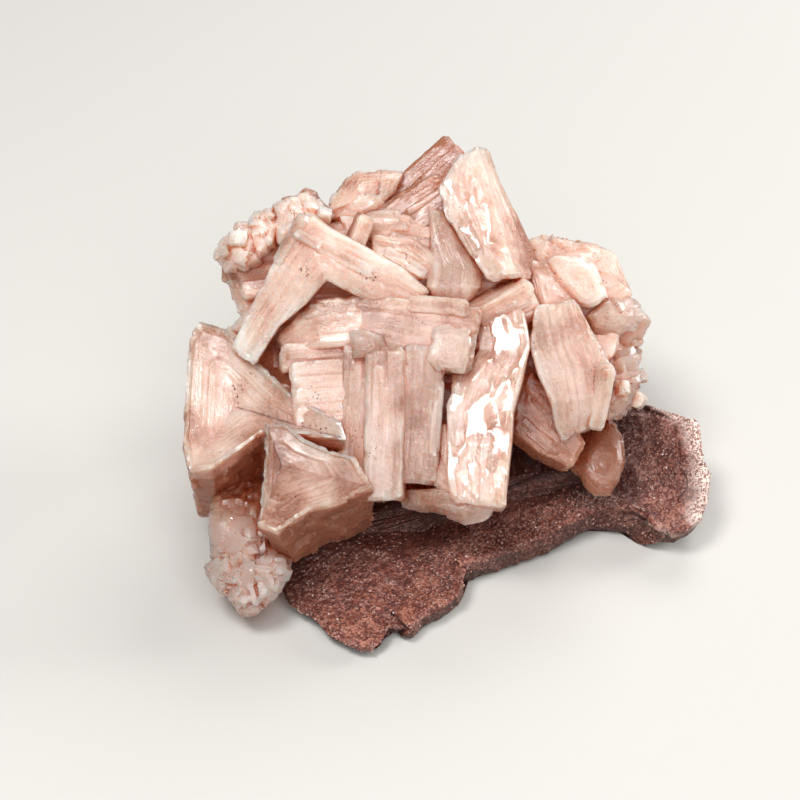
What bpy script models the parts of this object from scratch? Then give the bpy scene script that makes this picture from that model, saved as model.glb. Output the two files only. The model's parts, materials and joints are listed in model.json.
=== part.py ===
# Halite crystal specimen: a cluster of intergrown bars, blocks and hopper
# crystals standing on a loose-grained slab of salt rock.
#
# The crystals are laid out on the display face, a plane that leans back from
# the upright: across runs to the right, up runs up the face and out comes
# away from it. All lengths in the lists are millimetres, all turns degrees.
import math

import bmesh
import bpy
import numpy as np
from mathutils import Matrix, Vector

mm = 0.001

# Driving dimensions
face_lean = 52.0             # from the upright, so the face looks 38 degrees up
face_centre = (-11.0, 10.0, 24.0)
stand = (0.75, -3.8, 0.0)    # brings the middle of the whole outline over the origin
chamfer = 0.7                # worn edges of the crystals
end_step = 0.9               # height of the last growth layer on a bar's end
end_shrink = 0.86            # how much of the section that layer covers
root_shrink = 0.92           # how much of the section is left at a bar's worn root
riser = 0.3                  # width of the slope between two growth ledges
rib_drop = 0.5               # height of a growth ledge along a bar
ledge_place = 0.55           # where across a beam's face its one ledge runs
waist = 0.45                 # how far down a block's body its bend is
rim_growth = 0.1             # how far a rim widens for each millimetre of clearance
block_steps = ((0.04, 0.12), (0.16, 0.55), (0.42, 0.9))     # inward share, lift share
hopper_steps = ((0.05, 0.0), (0.08, 0.4), (0.40, -0.2), (0.44, 0.3), (0.70, 0.0))
clearance = 0.3              # between the crystals and the slab

# Straight bars and blocks. at: centre on the display face. size: long, wide,
# deep. turn: spin of the long axis in the face, its rise out of it, roll about it.
# ribs: growth ledges along it.
bars = {
    "upper_chip": dict(at=(-8.5, 34, 12), size=(8, 3, 4), turn=(68, 0, 20)),
    "ribbed_block": dict(at=(-13, -0.5, 17), size=(17, 16, 10), turn=(4, 0, -6), ribs=4),
    "stair_slab": dict(at=(-7, -2.5, 19), size=(28, 8, 8), turn=(-92, 3, 10), ribs=2),
    "stair_bar": dict(at=(-2.8, -5, 22), size=(30, 7.5, 8), turn=(-91, 4, 6), ribs=2),
    "stair_side": dict(at=(3.4, -3, 20), size=(27, 8, 8), turn=(-94, 2, -14), ribs=2),
    "brace": dict(at=(21, 19, 13), size=(13, 7, 8), turn=(28, -6, 20)),
    "right_ledge": dict(at=(45, 9, 0), size=(9, 7, 10), turn=(-40, 0, 20)),
    "shelf_left": dict(at=(-26, 5, 3), size=(20, 12, 12), turn=(-70, 0, 20)),
    "core_top": dict(at=(-15, 30, -2), size=(38, 13, 15), turn=(8, 0, 0)),
    "core_middle": dict(at=(-2, 10, -1), size=(50, 32, 22), turn=(0, 0, 0)),
    "core_right": dict(at=(28, 12, 0), size=(32, 26, 18), turn=(-20, 0, 0)),
    "core_low": dict(at=(-6, -6, 0), size=(40, 18, 20), turn=(0, 0, 0)),
    "root": dict(at=(-2, -7, -9), size=(46, 24, 18), turn=(0, 0, -52)),
    "back_bar_a": dict(at=(10, 28, -10), size=(26, 11, 11), turn=(40, -25, 20)),
    "back_bar_b": dict(at=(-14, 24, -12), size=(24, 12, 12), turn=(150, -30, 10)),
    "back_bar_c": dict(at=(27, 14, -14), size=(26, 13, 12), turn=(-20, -35, 25)),
    "back_bar_d": dict(at=(-2, 12, -22), size=(24, 13, 13), turn=(80, -50, 15)),
    "back_bar_e": dict(at=(-24, 9, -8), size=(26, 13, 13), turn=(190, -30, 30)),
    "back_bar_f": dict(at=(14, 5, -18), size=(24, 15, 13), turn=(-60, -40, 0)),
}

# Bars whose face narrows, widens or bends. edges: the two edges of the face,
# point against point along the bar, then how much of the body is behind them.
# body: the way from the face to the bar's back.
beams = {
    "peak": dict(body=(0.5, -1.5, -9), edges=[
        ((-7, 40, 0), (0, 34, 3), 1), ((1, 48, 0), (7.5, 42, 3), 1),
        ((9, 55.5, -1), (14.5, 49, 2), 1)]),
    "peak_front": dict(body=(1, 1, -9), edges=[
        ((-6, 38.5, 5), (0, 32.5, 8), 1), ((1, 43.5, 5.5), (6, 36, 8.5), 1),
        ((6.5, 46.5, 5.5), (10.5, 40, 8.5), 1)]),
    "big_bar": dict(body=(6.5, -0.5, -9), edges=[
        ((10.5, 48, 9), (16, 51.5, 8), 0.4), ((8, 43.5, 9.5), (17.5, 46, 10), 0.45),
        ((9.5, 37.5, 11.5), (19, 40, 12), 0.7), ((13.5, 31, 14), (21, 32, 14.5), 1),
        ((17.5, 25, 16), (23, 26, 16), 1.05)]),
    "leaning_bar": dict(body=(0, 3, -10), edges=[
        ((6, 39, 9), (9.5, 38, 8.5), 0.8), ((6.5, 33, 10.5), (12.5, 32.5, 10.5), 1),
        ((6.5, 28, 12.5), (16.5, 26.5, 12.5), 1), ((5.5, 23, 14.5), (16.5, 23, 14), 1),
        ((7.5, 20, 14), (13.5, 19.5, 13.5), 0.8)]),
    "end_on_bar": dict(body=(1, 1, -9), edges=[
        ((-5.5, 33.5, 11), (-4.5, 29.5, 13), 0.8), ((2.5, 32.5, 12), (0.5, 26.5, 14), 1),
        ((6, 30, 12.5), (2.5, 24.5, 14), 1), ((7, 28, 12), (5.5, 25, 13), 0.8)]),
    "upper_mid": dict(body=(0, 1, -11), edges=[
        ((-12, 38, 5.5), (-10.5, 33.5, 8), 0.9), ((-1.5, 38.5, 7), (-3, 33, 9.5), 1),
        ((7, 37, 8), (6, 31, 10), 1)]),
    "roof": dict(body=(0, 1, -8.5), edges=[
        ((-33.5, 11, 17.5), (-29, 8, 19), 0.8), ((-30, 18, 19), (-24.5, 15, 20.5), 1),
        ((-25.5, 26.5, 21), (-19, 19.5, 22), 1), ((-20, 36, 22.5), (-15, 24, 23.5), 1),
        ((-17.5, 36.5, 22.5), (-14, 24, 23.5), 1), ((-14, 34, 22), (-11.5, 22.5, 23), 1),
        ((-6.5, 30, 20), (-7.5, 20.5, 21), 1), ((0, 26.5, 18), (-2, 20, 19), 0.9),
        ((5, 22.5, 16), (2, 19, 17), 0.8)]),
    "cross_bar_left": dict(body=(0, -1, -8), edges=[
        ((-24, 13.5, 16.5), (-23.5, 10.5, 17.5), 0.7), ((-20.5, 17, 18), (-20, 10.5, 19), 1),
        ((-17, 20, 19), (-16, 10.5, 20.5), 1), ((-8, 21, 20), (-8, 11, 21.5), 1)]),
    "cross_bar_right": dict(body=(0, -1, -9), edges=[
        ((-10.5, 20.5, 19.5), (-10.5, 10, 21), 1), ((-3, 20.5, 20.5), (-3, 8.5, 21.5), 1),
        ((2.5, 20, 21), (1.5, 7, 22), 1), ((8, 19.5, 21), (8, 6, 22.5), 1),
        ((15.5, 18.5, 19.5), (13, 5.5, 22), 1)]),
    "glossy_bar": dict(body=(0.5, -1.5, -9), edges=[
        ((15.5, 17, 16), (25, 17.5, 17.5), 0.9), ((16, 10, 18), (26, 11, 20), 1),
        ((11.5, 3.5, 20), (24, 3, 22.5), 1), ((9.5, -1, 21.5), (22.5, -2, 23.5), 1),
        ((9.5, -9, 24), (22, -8, 26), 1), ((9.5, -16, 26), (21, -16, 28), 1),
        ((10.5, -19, 26.5), (20.5, -20, 28.5), 0.9)]),
    "right_bar": dict(body=(0.5, -1, -9), edges=[
        ((27.5, 18, 17), (36, 19.5, 15), 0.9), ((26.5, 11, 18.5), (40, 11.5, 16), 1),
        ((28, 5.5, 19.5), (42.5, 7, 16.5), 1), ((30.5, -0.5, 20.5), (42, 1, 18), 1),
        ((31.5, -5, 19), (41.5, -1.5, 16.5), 0.8), ((33, -7.5, 16.5), (39, -4.5, 15), 0.6)]),
    "right_foot": dict(body=(-1, -1.5, -7), edges=[
        ((27, 5.5, 14), (22.5, -6, 15), 0.9), ((31.5, -1, 15), (28.5, -10.5, 16), 1),
        ((37, -7.5, 15), (34, -13, 16), 0.9)]),
    "knob_stem": dict(body=(2, 0, -9), edges=[
        ((-36, 27, 2), (-31, 26.5, 4), 0.9), ((-35, 23, 2), (-29.5, 22.5, 4), 1),
        ((-33, 17.5, 3), (-28.5, 18, 5), 1), ((-35, 15, 4), (-28.5, 13.5, 6), 0.9)]),
}

# Blocks of many sides: the rim of the outward face, point by point, the top of
# the face, and the way the body behind the rim runs.
blocks = {
    "upper_left": dict(crown=(-7, 42.5, 4.5), body=(2, -2, -10), shrink=0.9, rim=[
        (-15, 40, 2), (-13.5, 42.5, 1.5), (-11.5, 46, 1), (-10, 47.5, 0.5), (1, 48, 0),
        (-1, 43.5, 2), (-5.5, 39.5, 4), (-10, 37, 4), (-13.5, 37, 3)]),
    "cross_knob": dict(crown=(-6.5, 11, 25), body=(0, 0, -6), shrink=1, rim=[
        (-10, 13.5, 23), (-7.5, 14, 23), (-3.5, 13, 23), (-3, 10, 23.5), (-4.5, 8.5, 23.5),
        (-9.5, 8.5, 23.5)]),
    "cross_block": dict(crown=(10, 10, 24), body=(0, 0, -8), shrink=1, rim=[
        (7, 14.5, 22), (10, 15, 22), (14, 14, 21.5), (14, 9, 23), (12.5, 5.5, 24),
        (7.5, 6, 24), (5.5, 8.5, 24)]),
    "bright_facet": dict(crown=(9, -13, 24), body=(2, 0, -9), shrink=0.9, rim=[
        (7, -6, 20), (9, -5, 21.5), (10, -10, 22.5), (10.5, -15.5, 25), (11, -19.5, 26),
        (7, -17, 23.5), (6.5, -15.5, 22.5), (8, -11, 21.5)]),
    "bar_foot": dict(crown=(11, -20.5, 25.5), body=(0, 2, -9), shrink=0.9, rim=[
        (0.5, -18, 20), (8, -18, 23), (16, -19.5, 24), (18.5, -21, 24), (18, -23, 23.5),
        (16, -24, 23), (13, -25, 22.5), (8.5, -23, 21.5), (5.5, -22.5, 21), (0.5, -21.5, 19.5)]),
    "knob_left": dict(crown=(-33.5, 31, 10.5), body=(3, 0, -8), shrink=0.8, rim=[
        (-38.5, 29.5, 5), (-37, 33, 5.5), (-35, 35, 6), (-31.5, 35.5, 6.5), (-29.5, 33, 8),
        (-29, 28.5, 8.5), (-32, 26.5, 7), (-35.5, 26.5, 5.5)]),
    "knob_mid": dict(crown=(-28.5, 35, 10), body=(2, 1, -9), shrink=0.85, rim=[
        (-32, 35, 6), (-31.5, 37, 5.5), (-30, 39, 5), (-26.5, 40, 5), (-25, 37, 7),
        (-26, 31.5, 9), (-29, 29.5, 9), (-31.5, 32, 7.5)]),
    "knob_block": dict(crown=(-23.5, 37.5, 8.5), body=(1, 1, -10), shrink=0.9, rim=[
        (-26.5, 40.5, 4), (-24, 42, 3), (-21.5, 42, 3.5), (-19.5, 39, 5.5),
        (-21, 34, 8.5), (-24.5, 31.5, 9), (-26.5, 35, 7)]),
    "knob_right": dict(crown=(-18, 38.5, 7), body=(0, 2, -10), shrink=0.9, rim=[
        (-22, 42, 2.5), (-20, 43, 2), (-18, 42.5, 2), (-16, 40, 3), (-14, 38, 5),
        (-16, 34.5, 7.5), (-20, 36, 7), (-21.5, 39, 5)]),
    "right_back_block": dict(crown=(39, 27.5, 7.5), body=(-1, 1, -14), shrink=0.85, rim=[
        (26.5, 32.5, 3), (30, 34, 2.5), (33, 33.5, 2.5), (34.5, 33, 3), (41.5, 32.5, 3.5),
        (44, 30.5, 4), (46, 26, 4.5), (48, 22, 5), (45, 20, 6.5), (39.5, 21.5, 8),
        (33, 25.5, 8), (28, 28, 6)]),
    "right_front_block": dict(crown=(37, 24, 13), body=(-1, 0, -8), shrink=0.9, rim=[
        (30.5, 28.5, 9), (32, 29.5, 8.5), (37.5, 29.5, 9), (40, 27.5, 10), (42.5, 21, 12),
        (41, 20, 12.5), (38.5, 19, 12.5), (36.5, 19.5, 12.5), (33, 24, 11.5)]),
    "right_slope": dict(crown=(32, 21.5, 12), body=(0, 0, -9), shrink=0.9, rim=[
        (25.5, 28.5, 8), (30, 28.5, 8.5), (37.5, 19, 12), (37, 17, 11.5), (33, 16, 11),
        (28, 18, 11)]),
    "right_round_block": dict(crown=(43.5, 17.5, 10.5), body=(-1, 1, -9), shrink=0.8, rim=[
        (42, 20.5, 8), (44.5, 21.5, 7), (48, 21, 6), (49, 19.5, 6), (50, 17, 6),
        (48.5, 14.5, 6.5), (45.5, 13, 7), (42.5, 13.5, 8), (40, 14, 9), (38, 17, 10)]),
    "right_outer": dict(crown=(48, 16.5, 3.5), body=(-2, 0, -9), shrink=0.85, rim=[
        (47.5, 21, 2), (49, 21, 1.5), (50.5, 19.5, 1), (52.5, 16.5, 0.5), (51.5, 14.5, 1),
        (50.5, 13, 1.5), (49, 12.5, 2), (47.5, 11, 2), (44.5, 11.5, 3), (42.5, 14.5, 4)]),
    "right_glass": dict(crown=(45.5, 3, 10), body=(-3, 0, -10), shrink=0.85, rim=[
        (42.5, 9, 6), (45.5, 10, 5.5), (48, 10.5, 5), (50, 7.5, 5), (51.5, 4.5, 4.5),
        (50, 3.5, 5), (49.5, 2, 5.5), (48, -0.5, 7), (46, -3.5, 8.5), (41.5, -4, 10),
        (41, 1, 9.5)]),
    "right_wedge": dict(crown=(42, -13, 10.5), body=(-3, 8, -9), shrink=0.9, rim=[
        (35, -13.5, 8), (38, -9, 6.5), (40.5, -5, 5), (43.5, -5, 4.5), (46, -7.5, 5),
        (46.5, -12.5, 7), (45, -16.5, 9), (43, -19.5, 10.5), (40, -19.5, 10.5), (38.5, -18, 10)]),
    "low_left_grey": dict(crown=(-33, -27, 23), body=(3, 7, -9), shrink=0.9, rim=[
        (-39, -23, 18), (-38.5, -27, 19), (-37.5, -32, 21), (-33.5, -32, 23),
        (-27.5, -31, 24), (-28.5, -26, 22), (-29.5, -23.5, 20), (-34.5, -22.5, 18)]),
    "low_left_block": dict(crown=(-30, -36.5, 28), body=(1, 6, -8), shrink=0.85, rim=[
        (-39, -34.5, 22), (-37, -32, 22), (-34.5, -30.5, 22.5), (-31, -30, 23.5),
        (-28.5, -32, 25), (-23, -32.5, 24), (-22, -34, 23.5), (-23, -36.5, 24),
        (-24.5, -39, 24.5), (-28.5, -42.5, 24), (-30.5, -43, 24), (-32.5, -41.5, 24),
        (-36, -38, 22.5)]),
}

# Hopper crystals: the same, but the face sinks to a hollow.
hoppers = {
    "hopper_left": dict(
        rim=[(-43, 13, 12), (-41, 15.8, 11), (-36, 14.3, 12), (-32, 10.5, 14), (-22.5, 1.5, 20),
             (-12, -4.5, 26), (-10.8, -7.8, 27), (-19, -6.5, 25), (-27.5, -6.3, 23.5),
             (-37.5, -13.5, 24), (-42, -14, 22), (-43.5, -8, 19)],
        hollow=(-33.5, -1.5, 15.5), body=(-1, -12, -17), shrink=0.86),
    "hopper_front": dict(
        rim=[(-26.5, -5, 25), (-23, -4.8, 25), (-19, -8, 26.5), (-13, -10.5, 28), (-9, -11.5, 28.5),
             (-5.5, -17, 29), (-11, -19.5, 31), (-18, -21.5, 33), (-24, -25.5, 35),
             (-27.5, -24, 35), (-26.5, -14, 30)],
        hollow=(-23.5, -13, 26.5), body=(2, -9, -15), shrink=0.84),
}

# The slab of salt rock, seen from above: x, y, height of the top edge, height
# of the bottom edge. The underside between them is flat on the ground.
slab_rim = [
    (-33.5, -30.5, 4, 1.5), (-28, -35, 4, 1.5), (-25, -38.5, 3.5, 1.2), (-22, -41, 3.5, 1),
    (-19.5, -43, 3.5, 1), (-16.5, -43.5, 3.5, 1), (-15, -40.5, 4, 0.8), (-13, -38, 4.5, 0.8),
    (-9.5, -38.5, 4.5, 0.8), (-7, -35.5, 5, 0.8), (-2, -32, 5, 0.8), (0.5, -30, 5.5, 0.8),
    (1.5, -27, 5.5, 0.8), (0, -22.5, 6.5, 0.6), (6, -20, 6.5, 0.8), (12, -17.5, 7, 1),
    (20, -13.5, 7.5, 1.5), (26.5, -8.5, 8, 2.5), (31, -6.5, 8.5, 3), (39, -7.5, 9, 4),
    (41, -9, 9, 4), (43.5, -13.5, 8, 4), (47.5, -13, 8.5, 4.5), (51, -10.5, 10, 5),
    (52.5, -6.5, 12, 6), (53, -2.5, 15, 7), (52, 3, 17, 8), (51.5, 9, 19, 8), (48.5, 12, 19, 8),
    (44, 15, 18, 6), (38, 17.5, 17, 4.5), (34, 22.5, 16, 3), (28, 25, 15, 2), (22, 29.5, 14, 1.5),
    (15, 30, 13, 1), (8, 33.5, 12, 1), (0, 32.5, 11.5, 1), (-8, 35, 11, 1), (-16, 32, 10.5, 1),
    (-22, 31, 10, 1), (-29, 24.5, 9.5, 1.5), (-33, 20.5, 9, 1.5), (-37, 12, 8.5, 1.5),
    (-37.5, 5, 8, 1.5), (-40.5, -4, 7.5, 1.5), (-39, -12, 7, 1.5), (-38.5, -19, 6.5, 1.5),
    (-36, -25, 5, 1.5),
]
slab_spine = ((-16, -12), (34, 4))   # the line that the slab's rings close in on
slab_crown = 9.0                     # height of the slab's middle


def turned(turn):
    spin, rise, roll = (math.radians(value) for value in turn)
    out = Matrix.Rotation(spin, 4, "Z")
    out = out @ Matrix.Rotation(-rise, 4, "Y")
    return out @ Matrix.Rotation(roll, 4, "X")


def face_frame():
    lean = Matrix.Rotation(math.radians(face_lean), 4, "X")
    return Matrix.Translation(Vector(face_centre) + Vector(stand)) @ lean


def new_object(name, mesh):
    made = bpy.data.objects.new(name, mesh)
    bpy.context.scene.collection.objects.link(made)
    return made


def loft(name, rings, tip=None):
    """Join a row of equal rings of points and close both ends, the last one at a tip if given."""
    shape = bmesh.new()
    loops = [[shape.verts.new(point) for point in ring] for ring in rings]
    count = len(loops[0])
    for near, far in zip(loops, loops[1:]):
        for i in range(count):
            j = (i + 1) % count
            shape.faces.new((near[i], near[j], far[j], far[i]))
    shape.faces.new(loops[0])
    if tip is None:
        shape.faces.new(loops[-1])
    else:
        last = shape.verts.new(tip)
        for i in range(count):
            shape.faces.new((loops[-1][i], loops[-1][(i + 1) % count], last))
    bmesh.ops.recalc_face_normals(shape, faces=shape.faces)
    mesh = bpy.data.meshes.new(name)
    shape.to_mesh(mesh)
    shape.free()
    return mesh


def section(wide, deep, ribs):
    """A bar's section: worn corners, and growth ledges on the side facing out."""
    c = chamfer
    w, d = wide / 2, deep / 2
    points = [(-w + c, -d), (w - c, -d), (w, -d + c), (w, d - c), (w - c, d)]
    for i in range(ribs):
        edge = w - wide * (i + 1) / (ribs + 1)
        level = d - rib_drop * (i % 2)
        points += [(edge, level), (edge - riser, d - rib_drop * ((i + 1) % 2))]
    level = d - rib_drop * (ribs % 2)
    return points + [(-w + c, level), (-w, level - c), (-w, -d + c)]


def on_face(name, rings, tip=None):
    """Bring rings from the display face, in millimetres, to their place and join them."""
    place = face_frame()
    placed = [[place @ Vector(point) * mm for point in ring] for ring in rings]
    if tip is not None:
        tip = place @ Vector(tip) * mm
    return loft(name, placed, tip)


def bar(name, at, size, turn, ribs=0, grow=0.0):
    long, wide, deep = (value + 2 * grow for value in size)
    outline = section(wide, deep, ribs)
    half = long / 2
    stations = [(-half, root_shrink), (chamfer - half, 1.0), (half - end_step, 1.0),
                (half, end_shrink)]
    place = Matrix.Translation(Vector(at)) @ turned(turn)
    rings = [[place @ Vector((x, y * s, z * s)) for y, z in outline] for x, s in stations]
    return on_face(name, rings)


def beam(name, edges, body, grow=0.0):
    """A bar carried along the two edges of its face, with a ledge along the middle."""
    back = Vector(body)
    inward = back.normalized()
    rings = []
    for left, right, share in edges:
        left, right = Vector(left), Vector(right)
        across = (right - left).normalized()
        left = left - (across + inward) * grow
        right = right + (across - inward) * grow
        depth = back * share + inward * 2 * grow
        ledge = left.lerp(right, ledge_place)
        rings.append([left + across * chamfer, ledge, ledge + across * riser + inward * rib_drop,
                      right - across * chamfer + inward * rib_drop,
                      right + inward * (chamfer + rib_drop), right + depth, left + depth,
                      left + inward * chamfer])
    for end, near in ((0, 1), (-1, -2)):
        middle = sum(rings[end], Vector()) / len(rings[end])
        near_middle = sum(rings[near], Vector()) / len(rings[near])
        outward = (middle - near_middle).normalized()
        step = outward * (end_step + grow)
        cap = [middle + (point - middle) * end_shrink + step for point in rings[end]]
        rings.insert(0 if end == 0 else len(rings), cap)
    return on_face(name, rings)


def body_rings(rim, body, shrink, grow):
    """The rim made larger by grow, its middle, and the rings of the body behind it."""
    rim, body = np.array(rim, float), np.array(body, float)
    middle = rim.mean(axis=0)
    away = body / np.linalg.norm(body)
    rim = rim + (rim - middle) * grow * rim_growth - away * grow
    behind = [middle + (rim - middle) * shrink + body,
              middle + (rim - middle) * (1 + shrink) / 2 + body * waist]
    return rim, middle, away, behind


def block(name, rim, crown, body, shrink, grow=0.0):
    """A thick block whose face rises from the rim to a flat top."""
    rim, middle, away, rings = body_rings(rim, body, shrink, grow)
    lift = np.array(crown, float) - middle
    rings.append(rim)
    rings += [rim + (middle - rim) * inward + lift * rise for inward, rise in block_steps]
    return on_face(name, rings, tip=middle + lift - away * grow)


def hopper(name, rim, hollow, body, shrink, grow=0.0):
    """A thick block whose open face steps down to a hollow."""
    rim, middle, away, rings = body_rings(rim, body, shrink, grow)
    hollow = np.array(hollow, float)
    rings.append(rim)
    rings += [rim + (hollow - rim) * inward + away * drop for inward, drop in hopper_steps]
    return on_face(name, rings, tip=hollow)


def slab(name):
    rim = np.array(slab_rim, float)
    plan, top, bottom = rim[:, :2], rim[:, 2], rim[:, 3]
    along = (plan[:, :1] - plan[:, 0].min()) / np.ptp(plan[:, 0])
    start, end = (np.array(point, float) for point in slab_spine)
    inner = start + (end - start) * along

    def ring(inward, height):
        return np.column_stack([plan + (inner - plan) * inward, height])

    def sagging(inward, edge_share):
        return ring(inward, top * edge_share + slab_crown * (1 - edge_share))

    rings = [ring(0.62, 0 * bottom), ring(0.32, 0 * bottom), ring(0.14, bottom * 0.5),
             ring(0.06, bottom), ring(0.02, (top + bottom) / 2), ring(0, top - 0.7),
             ring(0.03, top), sagging(0.2, 0.95), sagging(0.42, 0.7), sagging(0.66, 0.4)]
    return loft(name, [[(Vector(point) + Vector(stand)) * mm for point in one] for one in rings])


def clear_scene():
    for item in list(bpy.data.objects):
        bpy.data.objects.remove(item, do_unlink=True)


def keep_unseen(piece):
    piece.hide_render = True
    piece.display_type = "WIRE"


def crystals_grown_together(name, grow=0.0):
    """All the crystals in one body. Each stays as an unseen shape of the union."""
    group = bpy.data.collections.new(name + "_pieces")
    bpy.context.scene.collection.children.link(group)
    first = None
    for make, table in ((bar, bars), (beam, beams), (block, blocks), (hopper, hoppers)):
        for key, values in table.items():
            mesh = make(name + "_" + key, **values, grow=grow)
            if first is None:
                first = new_object(name, mesh)
                continue
            piece = bpy.data.objects.new(mesh.name, mesh)
            keep_unseen(piece)
            group.objects.link(piece)
    union = first.modifiers.new("grown together", "BOOLEAN")
    union.operation = "UNION"
    union.operand_type = "COLLECTION"
    union.collection = group
    union.solver = "EXACT"
    return first


def finish(piece, colour, roughness):
    made = bpy.data.materials.new(piece.name)
    made.use_nodes = True
    shader = made.node_tree.nodes["Principled BSDF"]
    shader.inputs["Base Color"].default_value = (*colour, 1)
    shader.inputs["Roughness"].default_value = roughness
    shader.inputs["Metallic"].default_value = 0
    piece.data.materials.append(made)


def main():
    clear_scene()
    crystals = crystals_grown_together("crystal_cluster")
    finish(crystals, (0.84, 0.62, 0.52), 0.3)
    socket = crystals_grown_together("socket", clearance)
    keep_unseen(socket)
    matrix = new_object("matrix", slab("matrix"))
    cut = matrix.modifiers.new("sockets", "BOOLEAN")
    cut.operation = "DIFFERENCE"
    cut.object = socket
    cut.solver = "EXACT"
    finish(matrix, (0.40, 0.19, 0.16), 0.8)


main()
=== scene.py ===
import json
import math

import bpy
import bmesh
import numpy as np
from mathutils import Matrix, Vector

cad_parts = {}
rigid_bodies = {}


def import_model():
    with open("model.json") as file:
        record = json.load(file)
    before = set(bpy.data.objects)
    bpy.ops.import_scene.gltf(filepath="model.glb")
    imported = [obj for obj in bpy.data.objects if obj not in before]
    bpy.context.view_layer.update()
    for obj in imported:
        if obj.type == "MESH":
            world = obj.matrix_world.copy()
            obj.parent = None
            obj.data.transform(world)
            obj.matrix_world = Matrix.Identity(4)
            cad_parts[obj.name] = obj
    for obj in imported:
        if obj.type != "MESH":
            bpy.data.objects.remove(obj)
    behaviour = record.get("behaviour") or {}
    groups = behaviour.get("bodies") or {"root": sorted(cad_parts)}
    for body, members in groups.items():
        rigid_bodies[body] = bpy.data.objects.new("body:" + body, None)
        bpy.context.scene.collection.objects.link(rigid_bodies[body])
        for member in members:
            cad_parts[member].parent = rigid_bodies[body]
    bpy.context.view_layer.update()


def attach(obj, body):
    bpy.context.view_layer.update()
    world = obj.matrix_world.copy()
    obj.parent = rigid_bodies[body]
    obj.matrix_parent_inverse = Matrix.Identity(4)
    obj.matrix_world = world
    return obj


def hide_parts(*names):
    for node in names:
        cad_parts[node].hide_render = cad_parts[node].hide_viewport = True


# Halite specimen: peach halite crystals grown through each other on a slab of fine-grained salt rock.
# The frame is in metres. The tables here are in millimetres and degrees.
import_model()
mm = 0.001

# The crystals are placed on the display face, which leans back: across, up the face, out of the face.
displayFace = dict(
    centre=(-11.0, 10.0, 24.0),
    stand=(0.75, -3.8, 0.0),
    lean=52.0,
)


def rotation(axis, degrees):
    # a turn about one axis, as a 3 by 3 matrix
    a = math.radians(degrees)
    c, s = math.cos(a), math.sin(a)
    if axis == "x":
        return np.array([[1, 0, 0], [0, c, -s], [0, s, c]])
    if axis == "y":
        return np.array([[c, 0, s], [0, 1, 0], [-s, 0, c]])
    return np.array([[c, -s, 0], [s, c, 0], [0, 0, 1]])


def crystalTurn(turn):
    # spin of the long axis in the face, its rise out of the face, its roll about itself
    spin, rise, roll = turn
    return rotation("z", spin) @ rotation("y", -rise) @ rotation("x", roll)


def ontoFace(points):
    # display face coordinates to the frame's own, still in millimetres
    lean = rotation("x", displayFace["lean"])
    return points @ lean.T + np.add(displayFace["centre"], displayFace["stand"])


def waves(points, size, seed, count=12):
    # a smooth uneven field, near -1 to 1: plane waves with random directions and starts, added up;
    # size is the width of a bump, one number or one for each axis
    draw = np.random.default_rng(seed)
    way = draw.normal(size=(count, 3))
    way /= np.linalg.norm(way, axis=1)[:, None]
    pace = draw.uniform(0.6, 1.6, count)
    start = draw.uniform(0, 2 * math.pi, count)
    scaled = points / np.broadcast_to(np.asarray(size, float), 3)
    total = np.zeros(points.shape[:-1])
    for k in range(count):
        total += np.sin(scaled @ way[k] * math.pi * pace[k] + start[k])
    return total / math.sqrt(count) * 0.75


def smoothStep(low, high, x):
    t = np.clip((x - low) / (high - low), 0, 1)
    return t * t * (3 - 2 * t)


def terraces(h, step):
    # height rounded to steps, with short steep risers between flat treads
    whole = np.floor(h / step)
    part = h / step - whole
    return (whole + smoothStep(0.35, 0.65, part)) * step


def facets(points, width, tilt, seed):
    # broken surface: each point lies on the tilted plane of its nearest seed, about one seed to a
    # cube of that width
    draw = np.random.default_rng(seed)
    flat = points.reshape(-1, 3)
    low, high = flat.min(axis=0), flat.max(axis=0)
    cells = int(np.clip(np.prod((high - low) / width + 0.5), 4, 220))
    seeds = draw.uniform(low, high, (cells, 3))
    slopes = draw.normal(0, tilt, (cells, 3))
    gaps = ((flat[:, None, :] - seeds[None]) ** 2).sum(axis=2)
    owner = gaps.argmin(axis=1)
    height = ((flat - seeds[owner]) * slopes[owner]).sum(axis=1)
    return height.reshape(points.shape[:-1])


def distances(points):
    # the way walked from the first point to each
    return np.concatenate([[0], np.cumsum(np.linalg.norm(np.diff(points, axis=0), axis=1))])


def readBetween(spots, at, rows):
    # every column of a table, read between its rows
    return np.column_stack([np.interp(spots, at, column) for column in np.array(rows, float).T])


def gridNormals(points):
    # from the differences of neighbouring points, along the rows and round the rings
    along = np.gradient(points, axis=0)
    around = np.roll(points, -1, axis=1) - np.roll(points, 1, axis=1)
    normal = np.cross(around, along)
    return normal / np.maximum(np.linalg.norm(normal, axis=2, keepdims=True), 1e-9)


def facedOutward(mesh):
    shape = bmesh.new()
    shape.from_mesh(mesh)
    bmesh.ops.recalc_face_normals(shape, faces=shape.faces)
    if shape.calc_volume(signed=True) < 0:
        bmesh.ops.reverse_faces(shape, faces=shape.faces)
    shape.to_mesh(mesh)
    shape.free()
    return mesh


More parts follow.
